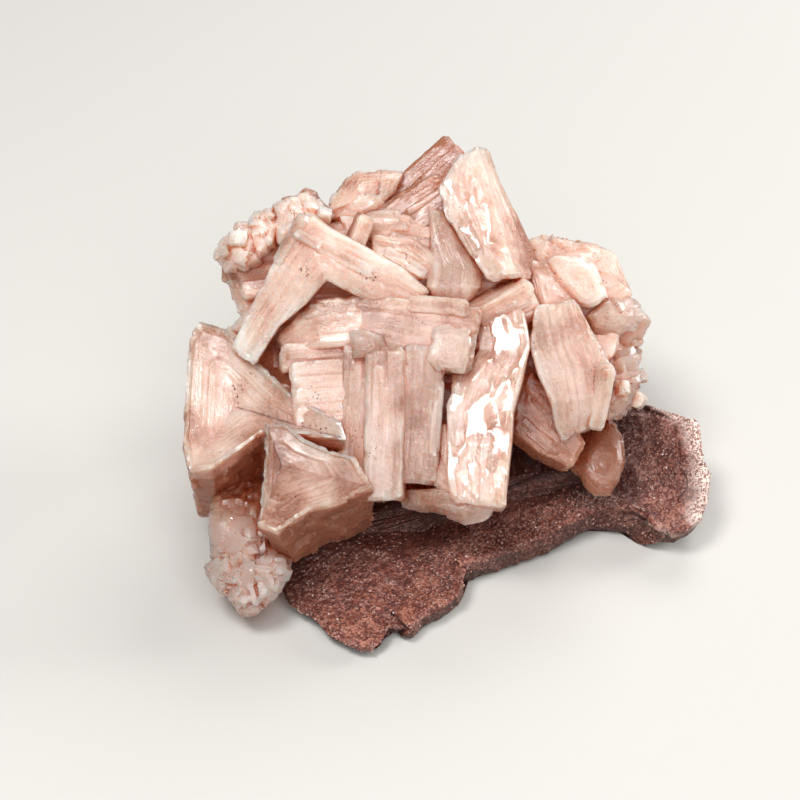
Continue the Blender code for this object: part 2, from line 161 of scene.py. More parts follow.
def ringMesh(name, rings, attributes):
    # rings of equal point counts joined by quads, each end closed by a fan to the ring's middle
    rows, count = rings.shape[:2]
    flat = rings.reshape(-1, 3)
    first, last = rings[0].mean(axis=0), rings[-1].mean(axis=0)
    i = np.arange(rows - 1)[:, None] * count
    j = np.arange(count)[None]
    k = (j + 1) % count
    quads = np.stack([i + j, i + k, i + count + k, i + count + j], axis=2).reshape(-1, 4)
    low = np.full(count, rows * count)
    high = np.full(count, rows * count + 1)
    lowFan = np.stack([low, k[0], j[0]], axis=1)
    highFan = np.stack([high, j[0] + (rows - 1) * count, k[0] + (rows - 1) * count], axis=1)
    points = np.vstack([flat, first, last])
    mesh = bpy.data.meshes.new(name)
    mesh.from_pydata(points * mm, [], quads.tolist() + lowFan.tolist() + highFan.tolist())
    corners = np.empty(len(mesh.loops), np.int32)
    mesh.loops.foreach_get("vertex_index", corners)
    for key, values in attributes.items():
        values = values.reshape(rows * count, -1)
        values = np.vstack([values, values[:count].mean(axis=0), values[-count:].mean(axis=0)])
        layer = mesh.attributes.new(key, "FLOAT_VECTOR", "CORNER")
        layer.data.foreach_set("vector", values[corners].astype(np.float32).ravel())
    return facedOutward(mesh)


# What every crystal has unless its own row says otherwise, in mm where it is a size.
crystalHabit = dict(
    layers=(4, 0.08),  # count and height of the growth layers lying on each face
    ribs=(0.05, 1.1),  # height and width of the long ledges
    fine=0.03,         # height of the striations
    lumps=0.05,        # height of the swells
    chip=0.55,         # how far the edges are broken
    steps=0.4,         # height of the rough steps on the ends
    edge=0.35,         # radius of the worn edges
    broken=None,       # width of broken facets and their tilt
    clear=0.15,        # how glassy, 0 to 1
    white=0.35,        # how milky, 0 to 1
    root=0.3,          # how much darker toward the back, as painted shade: the milk lost there
    gloss=0.0,         # share of the face that is polished
    dense=1.0,         # fineness of the mesh
    laths=None,        # count, length and width of the thin crystals lying along it
    sprouts=None,      # count and size of the small cubes on it
)

# What the hidden core and the guessed back have in common.
coreHabit = dict(dense=0.5, ribs=(0.5, 3))
backHabit = dict(dense=0.7, sprouts=(3, 4))

# Straight bars and blocks: at on the display face, size long, wide, deep, turn spin, rise, roll.
bars = {
    "upperChip": dict(at=(-8.5, 34, 12), size=(8, 3, 4), turn=(68, 0, 20), dense=0.8),
    "ribbedBlock": dict(at=(-13, -0.5, 17), size=(17, 16, 10), turn=(4, 0, -6), ribs=(0.1, 0.6),
                        fine=0.05, dense=1.3, white=0.45),
    "underBar": dict(at=(-14, 9, 15.5), size=(20, 5.5, 8), turn=(3, 0, 0), ribs=(0.1, 0.6),
                     fine=0.04, dense=1.1),
    "stairSlab": dict(at=(-7, -2.5, 19), size=(28, 8, 8), turn=(-92, 3, 10), ribs=(0.05, 0.8),
                      fine=0.04, dense=1.2, clear=0.3, laths=(3, 15, 2)),
    "stairBar": dict(at=(-2.8, -5, 22), size=(30, 7.5, 8), turn=(-91, 4, 6), ribs=(0.04, 2.2),
                     dense=1.2, clear=0.3, laths=(2, 16, 2)),
    "stairSide": dict(at=(3.4, -3, 20), size=(27, 8, 8), turn=(-94, 2, -14), ribs=(0.05, 0.9),
                      fine=0.04, dense=1.2, clear=0.3, laths=(2, 15, 2)),
    "brace": dict(at=(21, 19, 13), size=(13, 7, 8), turn=(28, -6, 20), laths=(3, 7, 2)),
    "rightLedge": dict(at=(45, 9, 0), size=(9, 7, 10), turn=(-40, 0, 20), sprouts=(2, 4)),
    "shelfLeft": dict(at=(-26, 5, 3), size=(20, 12, 12), turn=(-70, 0, 20), dense=0.6),
    "coreTop": dict(at=(-15, 30, -2), size=(38, 13, 15), turn=(8, 0, 0), dense=0.6, ribs=(0.4, 3),
                    sprouts=(7, 5)),
    "coreMiddle": dict(at=(-2, 10, -1), size=(50, 32, 22), turn=(0, 0, 0), **coreHabit),
    "coreRight": dict(at=(28, 12, 0), size=(32, 26, 18), turn=(-20, 0, 0), **coreHabit),
    "coreLow": dict(at=(-6, -6, 0), size=(40, 18, 20), turn=(0, 0, 0), **coreHabit),
    "root": dict(at=(-2, -7, -9), size=(46, 24, 18), turn=(0, 0, -52), **coreHabit),
    "backBarA": dict(at=(10, 28, -10), size=(26, 11, 11), turn=(40, -25, 20), **backHabit),
    "backBarB": dict(at=(-14, 24, -12), size=(24, 12, 12), turn=(150, -30, 10), **backHabit),
    "backBarC": dict(at=(27, 14, -14), size=(26, 13, 12), turn=(-20, -35, 25), **backHabit),
    "backBarD": dict(at=(-2, 12, -22), size=(24, 13, 13), turn=(80, -50, 15), **backHabit),
    "backBarE": dict(at=(-24, 9, -8), size=(26, 13, 13), turn=(190, -30, 30), **backHabit),
    "backBarF": dict(at=(14, 5, -18), size=(24, 15, 13), turn=(-60, -40, 0), **backHabit),
}

# Bars whose face narrows, widens or bends. edges: the two edges of the face, point against point along
# the bar, then how much of the body is behind them where that isn't 1. body: the way to its back.
beams = {
    "peak": dict(body=(0.5, -1.5, -9), clear=0.3, white=-0.05, laths=(3, 9, 2.5), edges=[
        ((-7, 40, 0), (0, 34, 3)), ((1, 48, 0), (7.5, 42, 3)),
        ((9, 55.5, -1), (14.5, 49, 2))]),
    "peakFront": dict(body=(1, 1, -9), clear=0.3, white=0.1, laths=(2, 8, 2), edges=[
        ((-6, 38.5, 5), (0, 32.5, 8)), ((1, 43.5, 5.5), (6, 36, 8.5)),
        ((6.5, 46.5, 5.5), (10.5, 40, 8.5))]),
    "bigBar": dict(body=(6.5, -0.5, -9), gloss=0.42, dense=1.1, lumps=0.02, laths=(1, 12, 2), edges=[
        ((10.5, 48, 9), (16, 51.5, 8), 0.4), ((8, 43.5, 9.5), (17.5, 46, 10), 0.45),
        ((9.5, 37.5, 11.5), (19, 40, 12), 0.7), ((13.5, 31, 14), (21, 32, 14.5)),
        ((17.5, 25, 16), (23, 26, 16), 1.05)]),
    "leaningBar": dict(body=(0, 3, -10), clear=0.35, edge=1.0, edges=[
        ((6, 39, 9), (9.5, 38, 8.5), 0.8), ((6.5, 33, 10.5), (12.5, 32.5, 10.5)),
        ((6.5, 28, 12.5), (16.5, 26.5, 12.5)), ((5.5, 23, 14.5), (16.5, 23, 14)),
        ((7.5, 20, 14), (13.5, 19.5, 13.5), 0.8)]),
    "endOnBar": dict(body=(1, 1, -9), ribs=(0.25, 1.0), laths=(4, 8, 2), edges=[
        ((-5.5, 33.5, 11), (-4.5, 29.5, 13), 0.8), ((2.5, 32.5, 12), (0.5, 26.5, 14)),
        ((6, 30, 12.5), (2.5, 24.5, 14)), ((7, 28, 12), (5.5, 25, 13), 0.8)]),
    "upperMid": dict(body=(0, 1, -11), laths=(3, 8, 2.5), sprouts=(2, 3), edges=[
        ((-12, 38, 5.5), (-10.5, 33.5, 8), 0.9), ((-1.5, 38.5, 7), (-3, 33, 9.5)),
        ((7, 37, 8), (6, 31, 10))]),
    "roof": dict(body=(0, 1, -8.5), dense=1.2, white=0.44, fine=0.05, ribs=(0.1, 0.8),
                 laths=(3, 14, 2), edges=[
        ((-33.5, 11, 17.5), (-29, 8, 19), 0.8), ((-30, 18, 19), (-24.5, 15, 20.5)),
        ((-25.5, 26.5, 21), (-19, 19.5, 22)), ((-20, 36, 22.5), (-15, 24, 23.5)),
        ((-17.5, 36.5, 22.5), (-14, 24, 23.5)), ((-14, 34, 22), (-11.5, 22.5, 23)),
        ((-6.5, 30, 20), (-7.5, 20.5, 21)), ((0, 26.5, 18), (-2, 20, 19), 0.9),
        ((5, 22.5, 16), (2, 19, 17), 0.8)]),
    "crossBarLeft": dict(body=(0, -1, -8), dense=1.2, ribs=(0.08, 0.9), fine=0.04,
                         laths=(2, 9, 2), edges=[
        ((-24, 13.5, 16.5), (-23.5, 10.5, 17.5), 0.7), ((-20.5, 17, 18), (-20, 10.5, 19)),
        ((-17, 20, 19), (-16, 10.5, 20.5)), ((-8, 21, 20), (-8, 11, 21.5))]),
    "crossBarRight": dict(body=(0, -1, -9), dense=1.2, clear=0.2, white=0.28,
                          laths=(3, 11, 4), sprouts=(1, 4), edges=[
        ((-10.5, 20.5, 19.5), (-10.5, 10, 21)), ((-3, 20.5, 20.5), (-3, 8.5, 21.5)),
        ((2.5, 20, 21), (1.5, 7, 22)), ((8, 19.5, 21), (8, 6, 22.5)),
        ((15.5, 18.5, 19.5), (13, 5.5, 22))]),
    "glossyBar": dict(body=(0.5, -1.5, -9), gloss=0.68, dense=1.3, lumps=0.02,
                      laths=(2, 14, 2), edges=[
        ((15.5, 17, 16), (25, 17.5, 17.5), 0.9), ((16, 10, 18), (26, 11, 20)),
        ((11.5, 3.5, 20), (24, 3, 22.5)), ((9.5, -1, 21.5), (22.5, -2, 23.5)),
        ((9.5, -9, 24), (22, -8, 26)), ((9.5, -16, 26), (21, -16, 28)),
        ((10.5, -19, 26.5), (20.5, -20, 28.5), 0.9)]),
    "rightBar": dict(body=(0.5, -1, -9), dense=1.2, clear=0.25, laths=(2, 12, 4), edges=[
        ((27.5, 18, 17), (36, 19.5, 15), 0.9), ((26.5, 11, 18.5), (40, 11.5, 16)),
        ((28, 5.5, 19.5), (42.5, 7, 16.5)), ((30.5, -0.5, 20.5), (42, 1, 18)),
        ((31.5, -5, 19), (41.5, -1.5, 16.5), 0.8), ((33, -7.5, 16.5), (39, -4.5, 15), 0.6)]),
    "rightFoot": dict(body=(-1, -1.5, -7), dense=1.1, ribs=(0.14, 1.2), white=0.1,
                      laths=(4, 10, 2), edges=[
        ((27, 5.5, 14), (22.5, -6, 15), 0.9), ((31.5, -1, 15), (28.5, -10.5, 16)),
        ((37, -7.5, 15), (34, -13, 16), 0.9)]),
    "knobStem": dict(body=(2, 0, -9), clear=0.3, laths=(3, 7, 2), sprouts=(2, 3), edges=[
        ((-36, 27, 2), (-31, 26.5, 4), 0.9), ((-35, 23, 2), (-29.5, 22.5, 4)),
        ((-33, 17.5, 3), (-28.5, 18, 5)), ((-35, 15, 4), (-28.5, 13.5, 6), 0.9)]),
}

# Blocks of many sides. rim: the rim of the outward face. crown: the top of the face. body: the way
# the body runs back from the rim. shrink: how wide its end is beside the rim.
blocks = {
    "upperLeft": dict(crown=(-7, 42.5, 4.5), body=(2, -2, -10), broken=(5, 0.1), rim=[
        (-15, 40, 2), (-13.5, 42.5, 1.5), (-11.5, 46, 1), (-10, 47.5, 0.5), (1, 48, 0),
        (-1, 43.5, 2), (-5.5, 39.5, 4), (-10, 37, 4), (-13.5, 37, 3)]),
    "crossKnob": dict(crown=(-6.5, 11, 25), body=(0, 0, -6), shrink=1, clear=0.4, rim=[
        (-10, 13.5, 23), (-7.5, 14, 23), (-3.5, 13, 23), (-3, 10, 23.5), (-4.5, 8.5, 23.5),
        (-9.5, 8.5, 23.5)]),
    "crossBlock": dict(crown=(10, 10, 24), body=(0, 0, -8), shrink=1, clear=0.3, rim=[
        (7, 14.5, 22), (10, 15, 22), (14, 14, 21.5), (14, 9, 23), (12.5, 5.5, 24),
        (7.5, 6, 24), (5.5, 8.5, 24)]),
    "brightFacet": dict(crown=(9, -13, 24), body=(2, 0, -9), gloss=0.8, rim=[
        (7, -6, 20), (9, -5, 21.5), (10, -10, 22.5), (10.5, -15.5, 25), (11, -19.5, 26),
        (7, -17, 23.5), (6.5, -15.5, 22.5), (8, -11, 21.5)]),
    "barFoot": dict(crown=(11, -20.5, 25.5), body=(0, 2, -9), clear=0.35, lumps=0.25, rim=[
        (0.5, -18, 20), (8, -18, 23), (16, -19.5, 24), (18.5, -21, 24), (18, -23, 23.5),
        (16, -24, 23), (13, -25, 22.5), (8.5, -23, 21.5), (5.5, -22.5, 21), (0.5, -21.5, 19.5)]),
    "knobLeft": dict(crown=(-33.5, 31, 10.5), body=(3, 0, -8), shrink=0.8, white=0.5, lumps=0.25,
                     broken=(3, 0.2), sprouts=(2, 3), rim=[
        (-38.5, 29.5, 5), (-37, 33, 5.5), (-35, 35, 6), (-31.5, 35.5, 6.5), (-29.5, 33, 8),
        (-29, 28.5, 8.5), (-32, 26.5, 7), (-35.5, 26.5, 5.5)]),
    "knobMid": dict(crown=(-28.5, 35, 10), body=(2, 1, -9), shrink=0.85, white=0.5, lumps=0.25,
                    broken=(3, 0.2), sprouts=(2, 3), rim=[
        (-32, 35, 6), (-31.5, 37, 5.5), (-30, 39, 5), (-26.5, 40, 5), (-25, 37, 7),
        (-26, 31.5, 9), (-29, 29.5, 9), (-31.5, 32, 7.5)]),
    "knobBlock": dict(crown=(-23.5, 37.5, 8.5), body=(1, 1, -10), white=0.5, lumps=0.25,
                      broken=(3.5, 0.2), sprouts=(1, 3.5), rim=[
        (-26.5, 40.5, 4), (-24, 42, 3), (-21.5, 42, 3.5), (-19.5, 39, 5.5),
        (-21, 34, 8.5), (-24.5, 31.5, 9), (-26.5, 35, 7)]),
    "knobRight": dict(crown=(-18, 38.5, 7), body=(0, 2, -10), white=0.5, lumps=0.2,
                      broken=(3.5, 0.2), sprouts=(1, 3), rim=[
        (-22, 42, 2.5), (-20, 43, 2), (-18, 42.5, 2), (-16, 40, 3), (-14, 38, 5),
        (-16, 34.5, 7.5), (-20, 36, 7), (-21.5, 39, 5)]),
    "rightBackBlock": dict(crown=(39, 27.5, 7.5), body=(-1, 1, -14), shrink=0.85, broken=(6, 0.12),
                           sprouts=(1, 5), rim=[
        (26.5, 32.5, 3), (30, 34, 2.5), (33, 33.5, 2.5), (34.5, 33, 3), (41.5, 32.5, 3.5),
        (44, 30.5, 4), (46, 26, 4.5), (48, 22, 5), (45, 20, 6.5), (39.5, 21.5, 8),
        (33, 25.5, 8), (28, 28, 6)]),
    "rightFrontBlock": dict(crown=(37, 24, 13), body=(-1, 0, -8), white=0.5, rim=[
        (30.5, 28.5, 9), (32, 29.5, 8.5), (37.5, 29.5, 9), (40, 27.5, 10), (42.5, 21, 12),
        (41, 20, 12.5), (38.5, 19, 12.5), (36.5, 19.5, 12.5), (33, 24, 11.5)]),
    "rightSlope": dict(crown=(32, 21.5, 12), body=(0, 0, -9), rim=[
        (25.5, 28.5, 8), (30, 28.5, 8.5), (37.5, 19, 12), (37, 17, 11.5), (33, 16, 11),
        (28, 18, 11)]),
    "rightRoundBlock": dict(crown=(43.5, 17.5, 10.5), body=(-1, 1, -9), shrink=0.8, clear=0.4,
                            broken=(5, 0.1), sprouts=(1, 4), rim=[
        (42, 20.5, 8), (44.5, 21.5, 7), (48, 21, 6), (49, 19.5, 6), (50, 17, 6),
        (48.5, 14.5, 6.5), (45.5, 13, 7), (42.5, 13.5, 8), (40, 14, 9), (38, 17, 10)]),
    "rightOuter": dict(crown=(48, 16.5, 3.5), body=(-2, 0, -9), shrink=0.85, clear=0.5,
                       sprouts=(2, 3), rim=[
        (47.5, 21, 2), (49, 21, 1.5), (50.5, 19.5, 1), (52.5, 16.5, 0.5), (51.5, 14.5, 1),
        (50.5, 13, 1.5), (49, 12.5, 2), (47.5, 11, 2), (44.5, 11.5, 3), (42.5, 14.5, 4)]),
    "rightGlass": dict(crown=(45.5, 3, 10), body=(-3, 0, -10), shrink=0.85, clear=0.6,
                       broken=(3, 0.25), sprouts=(2, 3), rim=[
        (42.5, 9, 6), (45.5, 10, 5.5), (48, 10.5, 5), (50, 7.5, 5), (51.5, 4.5, 4.5),
        (50, 3.5, 5), (49.5, 2, 5.5), (48, -0.5, 7), (46, -3.5, 8.5), (41.5, -4, 10),
        (41, 1, 9.5)]),
    "rightWedge": dict(crown=(42, -13, 10.5), body=(-3, 8, -9), clear=0.6, white=0.0, rim=[
        (35, -13.5, 8), (38, -9, 6.5), (40.5, -5, 5), (43.5, -5, 4.5), (46, -7.5, 5),
        (46.5, -12.5, 7), (45, -16.5, 9), (43, -19.5, 10.5), (40, -19.5, 10.5), (38.5, -18, 10)]),
    "lowLeftGrey": dict(crown=(-33, -27, 23), body=(3, 7, -9), clear=0.6,
                        broken=(4, 0.15), rim=[
        (-39, -23, 18), (-38.5, -27, 19), (-37.5, -32, 21), (-33.5, -32, 23),
        (-27.5, -31, 24), (-28.5, -26, 22), (-29.5, -23.5, 20), (-34.5, -22.5, 18)]),
    "lowLeftBlock": dict(crown=(-30, -36.5, 28), body=(1, 6, -8), shrink=0.85, clear=0.5, white=0.55,
                         broken=(2.2, 0.4), gloss=0.4, dense=1.2, rim=[
        (-39, -34.5, 22), (-37, -32, 22), (-34.5, -30.5, 22.5), (-31, -30, 23.5),
        (-28.5, -32, 25), (-23, -32.5, 24), (-22, -34, 23.5), (-23, -36.5, 24),
        (-24.5, -39, 24.5), (-28.5, -42.5, 24), (-30.5, -43, 24), (-32.5, -41.5, 24),
        (-36, -38, 22.5)]),
}

# Hopper crystals: the same, but the face sinks to a hollow in place of the crown.
hoppers = {
    "hopperLeft": dict(
        rim=[(-43, 13, 12), (-41, 15.8, 11), (-36, 14.3, 12), (-32, 10.5, 14), (-22.5, 1.5, 20),
             (-12, -4.5, 26), (-10.8, -7.8, 27), (-19, -6.5, 25), (-27.5, -6.3, 23.5),
             (-37.5, -13.5, 24), (-42, -14, 22), (-43.5, -8, 19)],
        hollow=(-33.5, -1.5, 15.5), body=(-1, -12, -17), shrink=0.86, white=0.28, root=0.4),
    "hopperFront": dict(
        rim=[(-26.5, -5, 25), (-23, -4.8, 25), (-19, -8, 26.5), (-13, -10.5, 28), (-9, -11.5, 28.5),
             (-5.5, -17, 29), (-11, -19.5, 31), (-18, -21.5, 33), (-24, -25.5, 35),
             (-27.5, -24, 35), (-26.5, -14, 30)],
        hollow=(-23.5, -13, 26.5), body=(2, -9, -15), shrink=0.84, clear=0.25, white=0.2,
        root=0.9),
}

# The steps of the two faces: share of the way inward, then the share of the lift to a block's
# crown, or the drop in mm in a hopper.
blockSteps = [(0, 0), (0.04, 0.12), (0.16, 0.55), (0.42, 0.9), (1, 1)]
hopperSteps = [(0, 0), (0.05, 0.0), (0.08, 0.3), (0.40, 0.0), (0.44, 0.2), (0.70, 0.0), (1, 0)]

# How fine the meshes are, in mm at a density of one: round a bar, along it and over its ends; round
# a rim, down its body and in over its face. Crystals that only cut the slab are coarser by cutter.
meshStep = dict(around=0.36, along=0.85, cap=0.6, rim=0.38, wall=0.8, face=0.42, cutter=0.6)
endStep = 0.9         # height of the last growth layer on an end
tight = 0.25          # how far every face stands out past its table, so that neighbours meet
wornWidth = 0.8       # width of the worn band along an edge
polishEdge = 0.14     # how sharply a polished patch ends


def habitOf(habit, grow):
    # a row's own values over the common ones
    look = {**crystalHabit, **habit}
    look["dense"] *= 1 if grow == 0 else meshStep["cutter"]
    return look


def polished(points, size, share, seed):
    # the hills of an uneven field, with ragged outlines; their share of the face grows with share
    patch = waves(points, size, seed + 8, 10) + 0.35 * waves(points, 1.1, seed + 7)
    return smoothStep(0.0, polishEdge, patch - 1.1 * (0.5 - share))


def chipped(height, points, look, seed, most):
    # facets broken out of a face, down by 0.8 and up by most
    if look["broken"]:
        height += np.clip(facets(points, *look["broken"], seed + 8), -0.8, most)


def grown(name, rings, normals, box, height, polish, milk, look, grow):
    # every point moved along its normal by its height; the mesh keeps what the material reads
    tone = np.stack([polish, np.full_like(height, look["clear"]), milk], axis=2)
    moved = ontoFace(rings + normals * (height + grow + tight)[..., None])
    return ringMesh(name, moved, dict(grain=box, habit=tone)), rings, normals, box


def barSection(wide, deep, edge, spacing):
    # a rectangle with rounded corners, walked once round: even runs of points, three on each corner
    w, d = wide / 2 - edge, deep / 2 - edge
    middles = np.array([(w, d), (-w, d), (-w, -d), (w, -d)])
    parts = []
    for k in range(4):
        angles = np.radians(90 * k + np.array([8, 45, 82]))
        parts.append(middles[k] + edge * np.column_stack([np.cos(angles), np.sin(angles)]))
        leave = math.radians(90 * k + 98)
        stop = middles[(k + 1) % 4] + edge * np.array([math.cos(leave), math.sin(leave)])
        start = parts[-1][-1]
        count = max(3, int(np.linalg.norm(stop - start) / spacing))
        share = np.linspace(0, 1, count + 1)[1:-1, None]
        parts.append(start + (stop - start) * share)
    return np.vstack(parts)


def growthLayers(x, across, long, wide, count, height, seed):
    # long flat plateaus lying on a face and on each other
    draw = np.random.default_rng(seed)
    total = np.zeros(x.shape)
    for k in range(count):
        middle = draw.uniform(-0.5, 0.5) * wide
        half = draw.uniform(0.06, 0.22) * wide
        start = draw.uniform(-0.7, 0.1) * long
        end = start + draw.uniform(0.3, 0.9) * long
        lift = draw.choice([-0.7, 0.5, 1.0]) * height
        window = smoothStep(0.0, 0.16, half - np.abs(across - middle))
        window = window * smoothStep(0.0, 0.2, x - start) * smoothStep(0.0, 0.2, end - x)
        total += lift * window
    return total


def barEdges(at, size, turn):
    # a straight bar, given by its middle, as the two edges of its face and the way to its back
    long, wide, deep = np.array(size) / 2
    long = long - min(endStep, 0.3 * long)
    corners = [[np.add(at, turn @ (x * long, y * wide, deep)) for y in (-1, 1)] for x in (-1, 1)]
    return dict(edges=corners, body=turn @ (0, 0, -2 * deep))


def crystalBeam(name, seed, edges, body, grow=0.0, **habit):
    # the section carried along the two edges and narrowing to the middle of each end:
    # point = middle + across * y / width + body * (1/2 - z / depth) * share. Its local coordinates
    # unfold it to a straight box; there every point gets a height, by growth layers, ledges and
    # striations along it, swells and worn edges, and then moves that far along its true normal
    look = habitOf(habit, grow)
    left, right = (np.array([row[k] for row in edges], float) for k in (0, 1))
    share = np.array([(*row, 1)[2] for row in edges], float)
    body = np.array(body, float)
    walk = distances((left + right) / 2)
    long, deep = walk[-1], np.linalg.norm(body)
    wide = np.linalg.norm(right - left, axis=1).mean()
    edge = min(look["edge"], 0.25 * min(wide, deep))
    section = barSection(wide, deep, edge, meshStep["around"] / look["dense"])
    capRings = max(4, int(min(wide, deep) / 2 / (meshStep["cap"] / look["dense"])))
    inward = np.linspace(0.1, 0.97, capRings)
    rows = max(6, int(long / (meshStep["along"] / look["dense"])))
    run = np.linspace(0.5 * edge, long - 0.5 * edge, rows)
    spots = np.concatenate([np.zeros(capRings), run, np.full(capRings, long)])
    scale = np.concatenate([inward, np.ones(len(run)), inward[::-1]])[:, None]
    leftAt, rightAt = readBetween(spots, walk, left), readBetween(spots, walk, right)
    across = rightAt - leftAt
    widthAt = np.linalg.norm(across, axis=1)[:, None]
    box = np.empty((len(spots), len(section), 3))
    box[..., 0] = spots[:, None] - long / 2
    box[..., 1] = section[:, 0] * scale * widthAt / wide
    box[..., 2] = section[:, 1] * scale
    backward = (0.5 - box[..., 2] / deep) * np.interp(spots, walk, share)[:, None]
    middle = (leftAt + rightAt) / 2
    rings = middle[:, None] + across[:, None] * (box[..., 1] / widthAt)[..., None]
    rings = rings + body * backward[..., None]
    end = min(endStep, 0.15 * long) * smoothStep(1.0, 0.84, scale)[..., None]
    first = spots[:, None, None] < 0.5 * long
    ends = [(middle[k] - middle[j]) / np.linalg.norm(middle[k] - middle[j])
            for k, j in ((0, capRings + 2), (-1, -capRings - 3))]
    rings = rings + end * np.where(first, ends[0], ends[1])
    hand = np.sign(np.dot(np.cross(middle[-1] - middle[0], across[0]), -body))
    normals = gridNormals(rings) * hand

    facing = np.abs(gridNormals(box))
    onEnd = facing[..., 0]
    onSide, onTop = (smoothStep(0.6, 0.8, facing[..., k]) for k in (1, 2))
    x, y, z = (box[..., k] for k in range(3))
    height = onTop * growthLayers(x, y, long, wide, *look["layers"], seed)
    height += onSide * growthLayers(x, z, long, deep, *look["layers"], seed + 9)
    high, apart = look["ribs"]
    height += (1 - onEnd) * terraces(waves(box, (90, apart, apart), seed + 2, 9) * high, high * 0.8)
    endField = np.maximum(np.abs(y) / widthAt, np.abs(z) / deep) * 2
    endField = endField + 0.35 * waves(box, 2.6, seed + 3)
    height += onEnd * (terraces(endField * look["steps"] * 2, look["steps"]) - 1.5 * look["steps"])
    height += (1 - onEnd) * look["fine"] * waves(box, (90, 0.5, 0.5), seed + 4, 9)
    height += look["lumps"] * (waves(box, 5.0, seed + 6) + 0.3 * waves(box, 1.3, seed + 16))
    nearEnd, nearSide, nearTop = (smoothStep(wornWidth, 0.0, whole / 2 - np.abs(part))
                                  for whole, part in ((long, x), (widthAt, y), (deep, z)))
    wornAndGlinting = np.maximum(nearSide * nearTop, nearEnd * np.maximum(nearSide, nearTop))
    height -= wornAndGlinting * look["chip"] * smoothStep(0.1, 1.0, waves(box, 1.7, seed + 7))
    chipped(height, box, look, seed, 0.5)
    polish = np.zeros_like(height)
    if look["gloss"] > 0:
        polish = polished(box, (4.6, 2.2, 2.2), look["gloss"], seed) * onTop
        height = height * (1 - 0.97 * polish) + 0.2 * polish
    # worn edges whiter: partly real frosting, partly painted glints and edge glow
    milk = look["white"] + 0.12 * wornAndGlinting * smoothStep(-0.3, 0.7, waves(box, 1.4, seed + 17))
    # painted shade: darker toward the back of the body
    milk = milk - look["root"] * smoothStep(0.15, 0.8, backward)
    return grown(name, rings, normals, box, height, polish, milk, look, grow)


def rimCrystal(name, seed, rim, body, shrink, toward, lift, steps, grow, habit):
    # rings from the base up the body to the rim, then inward along the face to its middle:
    # point = middle + (outline - middle) * size + body * down + (toward - outline) * t + the step.
    # The growth ledges follow the distance from the rim, so their edges run parallel to it
    look = habitOf(habit, grow)
    rim, body = np.array(rim, float), np.array(body, float)
    closed = np.vstack([rim, rim[:1]])
    lengths = np.linalg.norm(np.diff(closed, axis=0), axis=1)
    counts = np.maximum(2, (lengths / (meshStep["rim"] / look["dense"])).astype(int))
    spots = np.concatenate([np.arange(count) / count + k for k, count in enumerate(counts)])
    corners = np.arange(len(closed))
    outline = readBetween(spots, corners, closed)
    walk = np.interp(spots, corners, np.concatenate([[0], np.cumsum(lengths)]))
    middle = rim.mean(axis=0)
    depth = np.linalg.norm(body)
    away = body / depth
    reach = np.linalg.norm(outline - middle, axis=1).mean()
    base = np.linspace(0.12, 1, 7)[:-1]
    back = np.linspace(1, 0, int(depth / (meshStep["wall"] / look["dense"])))
    inner = np.linspace(0, 0.95, int(reach / (meshStep["face"] / look["dense"])))[1:]
    down = np.concatenate([np.ones(len(base)), back, np.zeros(len(inner))])[:, None]
    size = np.concatenate([base * shrink, 1 + (shrink - 1) * back, np.ones(len(inner))])[:, None, None]
    t = np.concatenate([np.zeros(len(base) + len(back)), inner])[:, None]
    rise = np.interp(t[:, 0], *np.array(steps, float).T)[:, None]
    rings = middle + (outline - middle) * size + body * down[..., None]
    rings = rings + (np.array(toward) - outline) * t[..., None]
    rings = rings + (away if lift is None else lift) * rise[..., None]
    level = np.zeros(rings.shape[:2])
    run = depth * down + reach * (1 - size[..., 0]) * (down > 0.99) - reach * t + level
    box = np.stack([walk + level, run, level], axis=2)
    normals = gridNormals(rings)
    outward = (normals * (rings - (middle + body * 0.5))).sum(axis=2).mean()
    normals = normals * np.sign(outward)

    side = smoothStep(0.0, 0.08, down)
    layer = run + (0.25 + 0.7 * side) * waves(rings, 7, seed)
    ledge = 0.05 + 0.09 * side
    height = ledge * (terraces(layer, 1.3) - layer + terraces(layer * 0.7 + 2, 2.6) - layer * 0.7 - 2)
    height += 0.6 * side * np.clip(facets(rings, 4.0, 0.15, seed + 5), -0.6, 0.6)
    height += look["lumps"] * (waves(rings, 4.0, seed + 2) + 0.4 * waves(rings, 1.2, seed + 12))
    rimLine = np.exp(-(run / 0.6) ** 2)
    height -= look["chip"] * rimLine * smoothStep(0.0, 0.9, waves(rings, 1.5, seed + 3))
    chipped(height, rings, look, seed, 0.6)
    polish = level
    if look["gloss"] > 0:
        polish = polished(rings, 3.0, look["gloss"], seed) * (run <= 0)
        height = height * (1 - 0.9 * polish)
    # whiter along the rim: partly real frosting, partly painted highlight
    milk = look["white"] + 0.15 * rimLine * smoothStep(-0.3, 0.7, waves(rings, 1.6, seed + 17))
    # painted shade: darker down the body walls, away from the face
    milk = milk - 1.3 * look["root"] * smoothStep(0.02, 0.4, down)
    return grown(name, rings, normals, box, height, polish, milk, look, grow)


def block(name, seed, rim, crown, body, shrink=0.9, grow=0.0, **habit):
    middle = np.mean(rim, axis=0)
    lift = np.subtract(crown, middle)
    return rimCrystal(name, seed, rim, body, shrink, middle, lift, blockSteps, grow, habit)


def hopper(name, seed, rim, hollow, body, shrink, grow=0.0, **habit):
    return rimCrystal(name, seed, rim, body, shrink, hollow, None, hopperSteps, grow, habit)


def straightBar(name, seed, at, size, turn, grow=0.0, **habit):
    return crystalBeam(name, seed, **barEdges(at, size, crystalTurn(turn)), grow=grow, **habit)


